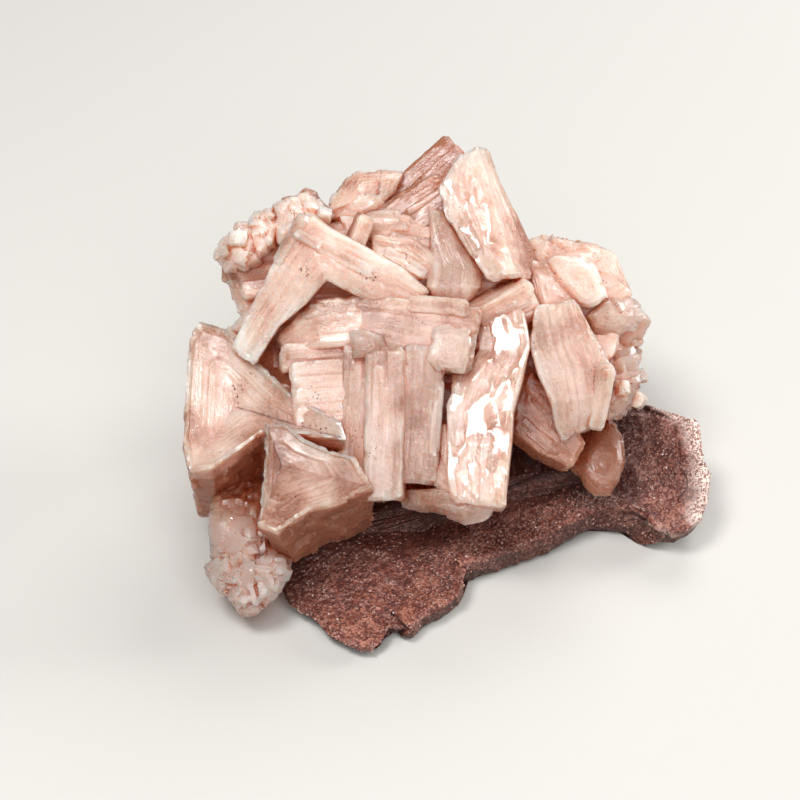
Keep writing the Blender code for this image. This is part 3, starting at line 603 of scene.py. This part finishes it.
# The small crystals on a larger one. loose: degrees out of line with it. facing: the least cosine
# between its surface and its face where they start. proud: how far they stand out, in mm for the top
# of a lath, as a share of its size for the middle of a cube.
smallHabit = dict(dense=0.5, edge=0.2, chip=0.3, layers=(2, 0.1), steps=0.2, root=0.0, clear=0.25)
lathForm = dict(loose=1.2, facing=0.5, thick=1.6, proud=(0.06, 0.24), endRoom=0.45)
cubeForm = dict(loose=7, facing=-0.3, proud=0.1, habit=dict(edge=0.7, lumps=0.25, chip=0.6))


def smallCrystals(name, seed, rings, normals, box, body, white, kind, count, long, wide):
    # laths lie along a larger crystal, cubes stand on it, both sunk in it
    draw = np.random.default_rng(seed)
    cube = kind == "cube"
    form = cubeForm if cube else lathForm
    outside = normals @ (-np.array(body) / np.linalg.norm(body)) > form["facing"]
    if not cube:
        endRoom = box[..., 0].max() - form["endRoom"] * long
        outside &= np.abs(box[..., 0]) < max(0.5, endRoom)
    outside = outside.ravel()
    along = np.gradient(rings, axis=0).reshape(-1, 3)
    look = {**smallHabit, "white": white, **form.get("habit", {})}
    made = []
    for k, spot in enumerate(draw.choice(outside.size, count, p=outside / outside.sum())):
        up = normals.reshape(-1, 3)[spot]
        ahead = along[spot] - up * (along[spot] @ up)
        ahead /= np.linalg.norm(ahead)
        turn = np.column_stack([ahead, np.cross(up, ahead), up])
        turn = turn @ crystalTurn(draw.normal(0, form["loose"], 3))
        size = np.array([long, wide, wide if cube else form["thick"]]) * draw.uniform(0.6, 1.25, 3)
        proud = size[2] * form["proud"] if cube else draw.uniform(*form["proud"]) - size[2] / 2
        edges = barEdges(rings.reshape(-1, 3)[spot] + up * proud, size, turn)
        made.append(crystalBeam(f"{name}{kind}{k}", seed + 50 * k, **edges, **look)[0])
    return made


def addObject(name, mesh, group=None):
    made = bpy.data.objects.new(name, mesh)
    (group or bpy.context.scene.collection).objects.link(made)
    return made


def allCrystals(grow=0.0):
    # the mesh of every crystal, and of the small ones on it; grow makes them all a little larger
    made = []
    seed = 100
    for make, table in ((straightBar, bars), (crystalBeam, beams), (block, blocks), (hopper, hoppers)):
        for key, values in table.items():
            seed += 10
            mesh, *surface = make(key, seed, **values, grow=grow)
            made.append(mesh)
            body = values["body"] if "body" in values else crystalTurn(values["turn"]) @ (0, 0, -1)
            surface += [body, values.get("white", crystalHabit["white"])]
            if "laths" in values and grow == 0:
                made += smallCrystals(key, 7 * seed, *surface, "lath", *values["laths"])
            if "sprouts" in values and grow == 0:
                count, size = values["sprouts"]
                made += smallCrystals(key, 9 * seed, *surface, "cube", count, size, size)
    return made


def combined(first, meshes, operation, kept=1.0):
    # closed surfaces joined into one solid, or cut out of the first; kept is the share of the
    # triangles that stay
    group = bpy.data.collections.new("operands")
    bpy.context.scene.collection.children.link(group)
    for made in [addObject(mesh.name, mesh, group) for mesh in meshes] + [first]:
        if kept < 1:
            made.modifiers.new("flat parts", "DECIMATE").ratio = kept
    join = first.modifiers.new("grown together", "BOOLEAN")
    join.operation = operation
    join.operand_type = "COLLECTION"
    join.collection = group
    join.solver = "MANIFOLD"
    graph = bpy.context.evaluated_depsgraph_get()
    mesh = bpy.data.meshes.new_from_object(first.evaluated_get(graph))
    for item in list(group.objects) + [first]:
        bpy.data.objects.remove(item)
    bpy.data.collections.remove(group)
    return mesh


def addNode(tree, kind, inputs=None, **settings):
    # one shader node with its settings; an input takes a value or another node's output
    made = tree.nodes.new("ShaderNode" + kind)
    for key, value in settings.items():
        setattr(made, key, value)
    for key, value in (inputs or {}).items():
        if isinstance(value, bpy.types.NodeSocket):
            tree.links.new(value, made.inputs[key])
        else:
            made.inputs[key].default_value = value
    return made


def noise(tree, place, scale, detail, roughness=0.5):
    return addNode(tree, "TexNoise", {
        "Vector": place, "Scale": scale, "Detail": detail, "Roughness": roughness}).outputs[0]


def maths(tree, operation, *values, **settings):
    return addNode(tree, "Math", dict(enumerate(values)), operation=operation,
                   **settings).outputs[0]


def spread(tree, value, low, high, first=0.0, last=1.0):
    # low to high becomes first to last
    return addNode(tree, "MapRange", {0: value, 1: low, 2: high, 3: first, 4: last}).outputs[0]


def blend(tree, share, first, second):
    return addNode(tree, "Mix", {0: share, 2: first, 3: second}).outputs[0]


def blendColours(tree, share, first, second, **settings):
    return addNode(tree, "Mix", {0: share, 6: first, 7: second}, data_type="RGBA",
                   **settings).outputs[2]


def hexColour(text, alpha=1.0):
    # sRGB hex to linear
    parts = np.array([int(text[k:k + 2], 16) / 255 for k in (1, 3, 5)])
    linear = np.where(parts <= 0.04045, parts / 12.92, ((parts + 0.055) / 1.055) ** 2.4)
    return (*linear, alpha)


def tinted(tree, value, first, last, *between):
    # a colour ramp; each stop is a position and an sRGB colour
    made = addNode(tree, "ValToRGB", {0: value})
    stops = made.color_ramp.elements
    for stop, (position, colour) in zip(stops, (first, last)):
        stop.position, stop.color = position, hexColour(colour)
    for position, colour in between:
        stops.new(position).color = hexColour(colour)
    return made.outputs[0]


def newMaterial(name):
    made = bpy.data.materials.new(name)
    made.use_nodes = True
    made.node_tree.nodes.clear()
    return made, made.node_tree


def surfaced(made, inputs, **others):
    # the material with its surface shader, and its volume if it has one
    tree = made.node_tree
    shader = addNode(tree, "BsdfPrincipled", inputs)
    addNode(tree, "OutputMaterial", {"Surface": shader.outputs[0], **others})
    return made


haliteLook = dict(
    deep="#C08468",       # brownish low end of the milky clouds, and the painted shade toward the backs
    body="#EFCBBA",       # iron-stained halite
    milk="#F9E9DF",       # milky growth zones, and worn edges whitened partly as painted glints
    milkRange=(0.9, 1.56),       # no milk to all milk, in the sum of zones and the next two
    striped=0.36, mottled=0.35,  # what striations and mottle add to it
    tan="#F0C4A9",        # thin stain and painted shade between the crystals
    rustStainAndShade="#D68258",       # thick stain and painted shade in the hollows
    hollow=0.014,         # m that a hollow is looked for over
    speck="#6E2A20",      # red-brown clay specks
    within="#FFD8C4",     # what the inside lets through
    dense=22.0,           # how much of the rest it takes, per m
    ior=1.544,
    see=0.35,             # how much more than its own clearness each crystal lets through
    clearest=0.6,         # the most that any lets through
    scatter=(1.0, 0.72, 0.56),   # how far red, green and blue travel inside, as shares
    travel=0.006,         # of this many m
    rough=(0.33, 0.2),    # roughness of plain and of milky zones
    glint=0.15,           # of the glinting flecks
    polish=0.08,          # of the polished patches
    relief=0.00026,       # height of the striations in m
    lineWidth=0.32,       # mm between striations
    zoneWidth=5.0,        # mm across a milky cloud
    speckWidth=0.22,      # mm across a clay speck
)


def haliteMaterial():
    # halite, natural growth faces: glassy to greasy over a milky, peach-coloured body that lets
    # light deep in, darker between the crystals by real stain and by painted shade
    look = haliteLook
    made, tree = newMaterial("halite grown faces")
    place = addNode(tree, "TexCoord").outputs["Object"]
    grain = addNode(tree, "Attribute", attribute_name="grain").outputs["Vector"]
    habit = addNode(tree, "Attribute", attribute_name="habit").outputs["Vector"]
    polish, clear, white = addNode(tree, "SeparateXYZ", {0: habit}).outputs
    stretched = addNode(tree, "Mapping", {"Vector": grain, "Scale": (0.03, 1.0, 1.0)})
    lines = noise(tree, stretched.outputs[0], 0.7 / look["lineWidth"], 4.0)
    zones = noise(tree, place, 500 / look["zoneWidth"], 3.0)
    mottle = noise(tree, place, 1300.0, 4.0, 0.7)

    # milk in zones and along striations, stain and painted shade in the hollows, specks in clusters
    clouded = maths(tree, "MULTIPLY_ADD", lines, look["striped"], zones)
    clouded = maths(tree, "MULTIPLY_ADD", mottle, look["mottled"], clouded)
    milk = spread(tree, maths(tree, "ADD", clouded, white), *look["milkRange"])
    tints = tinted(tree, milk, (0.0, look["deep"]), (1.0, look["milk"]), (0.45, look["body"]))
    # painted shade over a real stain: darker and redder where the hollows shut out light
    hollow = addNode(tree, "AmbientOcclusion", {"Distance": look["hollow"]}, samples=3)
    stainAndShade = tinted(tree, hollow.outputs["AO"], (0.0, look["rustStainAndShade"]), (0.56, "#FFFFFF"),
                   (0.28, look["tan"]))
    stainedAndShaded = blendColours(tree, 1.0, tints, stainAndShade, blend_type="MULTIPLY")
    spots = addNode(tree, "TexVoronoi", {
        "Vector": place, "Scale": 300 / look["speckWidth"]}).outputs["Distance"]
    rare = spread(tree, noise(tree, place, 150.0, 3.0), 0.5, 0.75, 0.0, 0.38)
    speck = spread(tree, maths(tree, "SUBTRACT", rare, spots), 0.0, 0.06)
    colour = blendColours(tree, speck, stainedAndShaded, hexColour(look["speck"]))

    # glinting flecks on a satin face, next to no relief where polished
    satin = blend(tree, spread(tree, mottle, 0.54, 0.62),
                  spread(tree, zones, 0.35, 0.65, *look["rough"]), look["glint"])
    gloss = blend(tree, polish, satin, look["polish"])
    rugged = spread(tree, noise(tree, place, 320.0, 2.0), 0.4, 0.65, 0.3, 0.9)
    relief = maths(tree, "MULTIPLY_ADD", noise(tree, place, 2200.0, 2.0), 0.5, lines)
    bump = addNode(tree, "Bump", {
        "Strength": blend(tree, polish, rugged, 0.04), "Distance": look["relief"], "Height": relief})

    # light let through: clear + see - 0.35 milk, none at a speck
    seen = maths(tree, "MULTIPLY_ADD", milk, -0.35, clear)
    seen = maths(tree, "ADD", seen, look["see"], use_clamp=True)
    seen = maths(tree, "MINIMUM", seen, look["clearest"])
    seen = maths(tree, "MULTIPLY", seen, maths(tree, "SUBTRACT", 1.0, speck))
    within = addNode(tree, "VolumeAbsorption", {
        "Color": hexColour(look["within"]), "Density": look["dense"]})
    return surfaced(made, {
        "Base Color": colour, "Roughness": gloss, "IOR": look["ior"], "Transmission Weight": seen,
        "Subsurface Weight": 1.0, "Subsurface Radius": look["scatter"],
        "Subsurface Scale": look["travel"], "Normal": bump.outputs[0]}, Volume=within.outputs[0])


# The slab of salt rock.
slabForm = dict(
    # its outline from above: x, y, height of the top edge, height of the bottom edge
    rim=[
        (-33.5, -30.5, 4, 1.5), (-28, -35, 4, 1.5), (-25, -38.5, 3.5, 1.2), (-22, -41, 3.5, 1),
        (-19.5, -43, 3.5, 1), (-16.5, -43.5, 3.5, 1), (-15, -40.5, 4, 0.8), (-13, -38, 4.5, 0.8),
        (-9.5, -38.5, 4.5, 0.8), (-7, -35.5, 5, 0.8), (-2, -32, 5, 0.8), (0.5, -30, 5.5, 0.8),
        (1.5, -27, 5.5, 0.8), (0, -22.5, 6.5, 0.6), (6, -20, 6.5, 0.8), (12, -17.5, 7, 1),
        (20, -13.5, 7.5, 1.5), (26.5, -8.5, 8, 2.5), (31, -6.5, 8.5, 3), (39, -7.5, 9, 4),
        (41, -9, 9, 4), (43.5, -13.5, 8, 4), (47.5, -13, 8.5, 4.5), (51, -10.5, 10, 5),
        (52.5, -6.5, 12, 6), (53, -2.5, 15, 7), (52, 3, 17, 8), (51.5, 9, 19, 8), (48.5, 12, 19, 8),
        (44, 15, 18, 6), (38, 17.5, 17, 4.5), (34, 22.5, 16, 3), (28, 25, 15, 2), (22, 29.5, 14, 1.5),
        (15, 30, 13, 1), (8, 33.5, 12, 1), (0, 32.5, 11.5, 1), (-8, 35, 11, 1), (-16, 32, 10.5, 1),
        (-22, 31, 10, 1), (-29, 24.5, 9.5, 1.5), (-33, 20.5, 9, 1.5), (-37, 12, 8.5, 1.5),
        (-37.5, 5, 8, 1.5), (-40.5, -4, 7.5, 1.5), (-39, -12, 7, 1.5), (-38.5, -19, 6.5, 1.5),
        (-36, -25, 5, 1.5)],
    spine=((-16, -12), (34, 4)),   # the line that the rings close in on
    crown=9.0,                     # height of the middle
    # from the middle of the underside, round the edge, to the middle of the top: how far inward,
    # the shares of the bottom edge's height, the top edge's and the crown's, a drop
    profile=[(0.90, 0, 0, 0, 0), (0.32, 0, 0, 0, 0), (0.14, 0.5, 0, 0, 0), (0.06, 1, 0, 0, 0),
             (0.02, 0.5, 0.5, 0, 0), (0, 0, 1, 0, 0.7), (0.03, 0, 1, 0, 0), (0.2, 0, 0.95, 0.05, 0),
             (0.42, 0, 0.7, 0.3, 0), (0.66, 0, 0.4, 0.6, 0), (0.90, 0, 0.4, 0.6, 0)],
    rows=(6, 6, 6, 6, 6, 3, 14, 14, 10, 6),    # rings from each of these to the next
    around=880,                    # points on a ring
    # height and width of the swells, the seed and the count of their waves
    swells=[(0.3, 6.0, 11, 12), (0.16, 2.4, 12, 12), (0.1, 0.8, 13, 20)],
    broken=(5.0, 0.25),            # width of the broken facets and their tilt
    breakage=0.35,                 # share of the tilt that is kept
    sugaryLitCorner=((43, 52), (-18, -8)),  # where the pale sugary corner, partly painted rim light, sets in, by x and by y
    gap=0.3,                       # between the slab and the crystals
)


def slabRings():
    # the outline resampled evenly and the profile applied at every point of it; the surface moves
    # along its normal by swells and broken facets, and stays on or above the ground
    form = slabForm
    rim = np.array(form["rim"] + form["rim"][:1], float)
    walk = distances(rim[:, :2])
    spots = np.linspace(0, walk[-1], form["around"], endpoint=False)
    x, y, top, bottom = readBetween(spots, walk, rim).T
    plan = np.column_stack([x, y])
    start, end = (np.array(point, float) for point in form["spine"])
    share = (x - x.min()) / np.ptp(x)
    inner = start + (end - start) * share[:, None]
    steps = np.concatenate([np.linspace(k, k + 1, n, endpoint=False)
                            for k, n in enumerate(form["rows"])] + [[len(form["rows"])]])
    lines = np.arange(len(form["profile"]))
    inward, low, high, crown, drop = readBetween(steps, lines, form["profile"]).T[..., None]
    rings = np.empty((len(steps), len(x), 3))
    rings[..., :2] = plan + (inner - plan) * inward[..., None]
    rings[..., 2] = low * bottom + high * top + crown * form["crown"] - drop
    normals = gridNormals(rings)
    height = sum(lift * waves(rings, wide, seed, count) for lift, wide, seed, count in form["swells"])
    steep = smoothStep(0.85, 0.5, np.abs(normals[..., 2]))
    edgeBand = smoothStep(0.3, 0.05, np.abs(inward)) * (high > 0)
    broken = form["breakage"] * np.clip(facets(rings, *form["broken"], 14), -1.5, 1.5)
    height += broken * (0.3 + 0.7 * np.maximum(steep, edgeBand))
    height = height * smoothStep(0.0, 1.2, rings[..., 2])
    moved = rings + normals * height[..., None]
    moved[..., 2] = np.maximum(moved[..., 2], 0)
    moved += np.array(displayFace["stand"])
    # the pale sugary corner: partly real crust, partly painted rim light on its thin edge
    nearRim = smoothStep(0.25, 0.0, np.abs(inward)) * (high > 0.4)
    ragged = moved + waves(moved, 4, 15)[..., None] * 5
    east, north = (smoothStep(*form["sugaryLitCorner"][k], ragged[..., k]) for k in (0, 1))
    return moved, east * north * nearRim


def slabPiece(rings, white):
    # the slab less the crystals that stand in it; only those that reach below the height of its top
    # white: the pale sugary corner, partly painted rim light
    habit = np.stack([white, np.zeros_like(white), np.zeros_like(white)], axis=2)
    whole = addObject("whole", ringMesh("salt_rock_slab", rings, dict(habit=habit)))
    cutters = [mesh for mesh in allCrystals(slabForm["gap"])
               if min(vertex.co.z for vertex in mesh.vertices) < 20 * mm]
    return addObject("salt_rock_slab", combined(whole, cutters, "DIFFERENCE"))


saltRockLook = dict(
    dark="#481810",
    middle="#6B3224",
    pale="#AC7260",
    # the pale sugary corner, also painted rim light
    sugarAndRimLight="#F3DDD3",
    shade="#2E0803",      # painted shade under the crystals, clay red
    under=(0.85, 0.35, 0.0, 0.97),   # openness where the shade sets in and is full, and how full
    hollow=0.02,          # m that a hollow is looked for over
    grain=2300.0,         # grains a little under half a mm wide
    rough=(0.75, 0.25),   # roughness of the dull grains and of the glinting ones
    relief=0.0002,        # m that the grains stand out
)


def saltRockMaterial():
    # salt rock, a broken crust of fine clay-stained salt: dull purplish brown with the glint of
    # countless small faces, pale and sugary where it is thin; painted rim light on that pale corner,
    # and painted shade under the crystals
    look = saltRockLook
    made, tree = newMaterial("salt rock broken crust")
    place = addNode(tree, "TexCoord").outputs["Object"]
    habit = addNode(tree, "Attribute", attribute_name="habit").outputs["Vector"]
    sugarAndRimLight = addNode(tree, "SeparateXYZ", {0: habit}).outputs[0]
    patches = noise(tree, place, 140.0, 5.0, 0.7)
    grains = addNode(tree, "TexVoronoi", {"Vector": place, "Scale": look["grain"]})
    speckle = addNode(tree, "SeparateColor", {0: grains.outputs["Color"]}).outputs[0]
    tints = tinted(tree, maths(tree, "MULTIPLY_ADD", speckle, 0.5, patches),
                   (0.45, look["dark"]), (1.0, look["pale"]), (0.72, look["middle"]))
    # painted shade: darker and redder where the crystals hang over the slab
    hollow = addNode(tree, "AmbientOcclusion", {"Distance": look["hollow"]}, samples=3)
    deep = spread(tree, hollow.outputs["AO"], *look["under"])
    shaded = blendColours(tree, deep, tints, hexColour(look["shade"]))
    # painted rim light on the pale sugary corner
    colour = blendColours(tree, sugarAndRimLight, shaded, hexColour(look["sugarAndRimLight"]))
    bump = addNode(tree, "Bump", {
        "Strength": 0.7, "Distance": look["relief"], "Height": grains.outputs["Distance"]})
    return surfaced(made, {
        "Base Color": colour, "Roughness": spread(tree, speckle, 0.0, 1.0, *look["rough"]),
        "IOR": haliteLook["ior"], "Subsurface Weight": 0.2, "Subsurface Radius": (1.0, 0.5, 0.4),
        "Subsurface Scale": 0.001, "Normal": bump.outputs[0]})


grainCrust = dict(
    count=6500,
    small=0.2, large=0.6,     # mm before the power, which makes small ones commoner
    power=1.3,
    sunk=0.25,                # how deep each sits, as a share of its size
    sugaryLitCorner=9.0,               # how many times more of them where the crust is sugary
    dull="#8C5448",
    bright="#CFA292",
)


def saltGrains(slabMesh):
    # loose salt cubes on the crust, each at a random point of the slab's mesh that doesn't face down
    # and turned at random
    look = grainCrust
    draw = np.random.default_rng(77)
    base, up = np.empty((2, len(slabMesh.vertices) * 3))
    slabMesh.vertices.foreach_get("co", base)
    slabMesh.vertices.foreach_get("normal", up)
    base, up = base.reshape(-1, 3) / mm, up.reshape(-1, 3)
    corners = np.empty(len(slabMesh.loops), np.int32)
    slabMesh.loops.foreach_get("vertex_index", corners)
    sugarAndRimLight = np.empty(len(corners) * 3)
    slabMesh.attributes["habit"].data.foreach_get("vector", sugarAndRimLight)
    white = np.zeros(len(base))
    white[corners] = sugarAndRimLight[::3]
    weight = (up[:, 2] > -0.2) * (1.0 + look["sugaryLitCorner"] * white) * (base[:, 2] > 1.0)
    count = look["count"]
    picked = draw.choice(weight.size, count, p=weight / weight.sum())
    base, up = base[picked], up[picked]
    size = draw.uniform(look["small"], look["large"], (count, 1)) ** look["power"]
    turns = np.linalg.qr(draw.normal(size=(count, 3, 3)))[0]
    cube = np.array([(x, y, z) for x in (-0.5, 0.5) for y in (-0.5, 0.5) for z in (-0.5, 0.5)])
    shaped = cube * draw.uniform(0.6, 1.0, (count, 8, 1))
    points = np.einsum("nij,nkj->nki", turns, shaped) * size[:, None]
    points = points + (base - look["sunk"] * size * up)[:, None]
    points[..., 2] = np.maximum(points[..., 2], 0.05)
    sides = np.array([(0, 1, 3, 2), (4, 6, 7, 5), (0, 4, 5, 1), (2, 3, 7, 6), (0, 2, 6, 4),
                      (1, 5, 7, 3)])
    faces = (sides[None] + 8 * np.arange(count)[:, None, None]).reshape(-1, 4)
    mesh = bpy.data.meshes.new("salt_grains")
    mesh.from_pydata(points.reshape(-1, 3) * mm, [], faces.tolist())
    return addObject("salt_grains", facedOutward(mesh))


def saltGrainMaterial():
    # loose salt, tiny cleaved cubes: clear and sharp, so that they glint one by one
    made, tree = newMaterial("salt grains cleaved")
    island = addNode(tree, "NewGeometry").outputs["Random Per Island"]
    colour = blendColours(tree, island, hexColour(grainCrust["dull"]), hexColour(grainCrust["bright"]))
    return surfaced(made, {
        "Base Color": colour, "Roughness": 0.24, "IOR": haliteLook["ior"], "Transmission Weight": 0.25,
        "Subsurface Weight": 0.3, "Subsurface Radius": (1.0, 0.6, 0.5), "Subsurface Scale": 0.0008})


studio = dict(
    elevation=38.0,       # degrees that the camera looks down
    distance=467.0,
    lens=100.0, sensor=36,
    floor="#C4C1BC",
    floorReach=3.0,       # m from the middle to each side
    world="#D8DADC", worldStrength=0.08,
    # where each soft light stands, aimed at the object: direction, distance, side, watts
    lights=[("key", (-0.31, -0.29, 0.90), 0.9, 0.28, 5.6),
            ("fill", (0.12, -0.72, 0.78), 1.0, 0.9, 9.0),
            ("back", (0.35, 0.9, 0.75), 1.0, 0.5, 5.0),
            ("rim", (1.0, 0.3, 0.35), 0.8, 0.3, 4.0)],
)


def aim(made, toward, place):
    # put in its place and turned to look back along that way
    made.location = place
    made.rotation_euler = toward.to_track_quat("Z", "Y").to_euler()


def buildStudio():
    look = studio
    centre = Vector(ontoFace(np.zeros(3)) * mm)
    floorMesh = bpy.data.meshes.new("floor")
    reach = look["floorReach"]
    corners = [(-reach, -reach, 0), (reach, -reach, 0), (reach, reach, 0), (-reach, reach, 0)]
    floorMesh.from_pydata(corners, [], [(0, 1, 2, 3)])
    floor = addObject("floor", floorMesh)
    board = {"Base Color": hexColour(look["floor"]), "Roughness": 0.8}
    floor.data.materials.append(surfaced(newMaterial("matte studio board")[0], board))
    world = bpy.data.worlds.new("studio air")
    world.use_nodes = True
    back = world.node_tree.nodes["Background"]
    back.inputs["Color"].default_value = hexColour(look["world"])
    back.inputs["Strength"].default_value = look["worldStrength"]
    bpy.context.scene.world = world
    bpy.context.scene.view_settings.view_transform = "Standard"
    for name, way, distance, side, watts in look["lights"]:
        toward = Vector(way).normalized()
        light = bpy.data.lights.new(name, "AREA")
        light.energy = watts
        light.size = side
        aim(addObject(name, light), toward, centre + toward * distance)
    lens = bpy.data.cameras.new("camera")
    lens.lens = look["lens"]
    lens.sensor_width = look["sensor"]
    camera = addObject("camera", lens)
    lift = math.radians(look["elevation"])
    toward = Vector((0, -math.cos(lift), math.sin(lift)))
    aim(camera, toward, centre + toward * look["distance"] * mm)
    bpy.context.scene.camera = camera


keptShare = 0.47      # of the crystals' triangles; the rest lie where a face is nearly flat
sharpAngle = 28       # from which an edge is sharp

single = allCrystals()
joined = combined(addObject("first", single[0]), single[1:], "UNION", keptShare)
crystals = addObject("crystal_growth", joined)
crystals.data.materials.clear()
crystals.data.materials.append(haliteMaterial())
crystals.data.set_sharp_from_angle(angle=math.radians(sharpAngle))
crystals.data.polygons.foreach_set("use_smooth", [True] * len(crystals.data.polygons))
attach(crystals, "root")
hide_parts("crystal_cluster")
print("crystals grown:", len(crystals.data.polygons), "faces")

slab = slabPiece(*slabRings())
slab.data.materials.clear()
slab.data.materials.append(saltRockMaterial())
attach(slab, "root")
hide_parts("matrix")
print("slab broken:", len(slab.data.polygons), "faces")

grains = saltGrains(slab.data)
grains.data.materials.append(saltGrainMaterial())
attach(grains, "root")
print("grains strewn:", len(grains.data.polygons), "faces")

buildStudio()
print("studio lit")
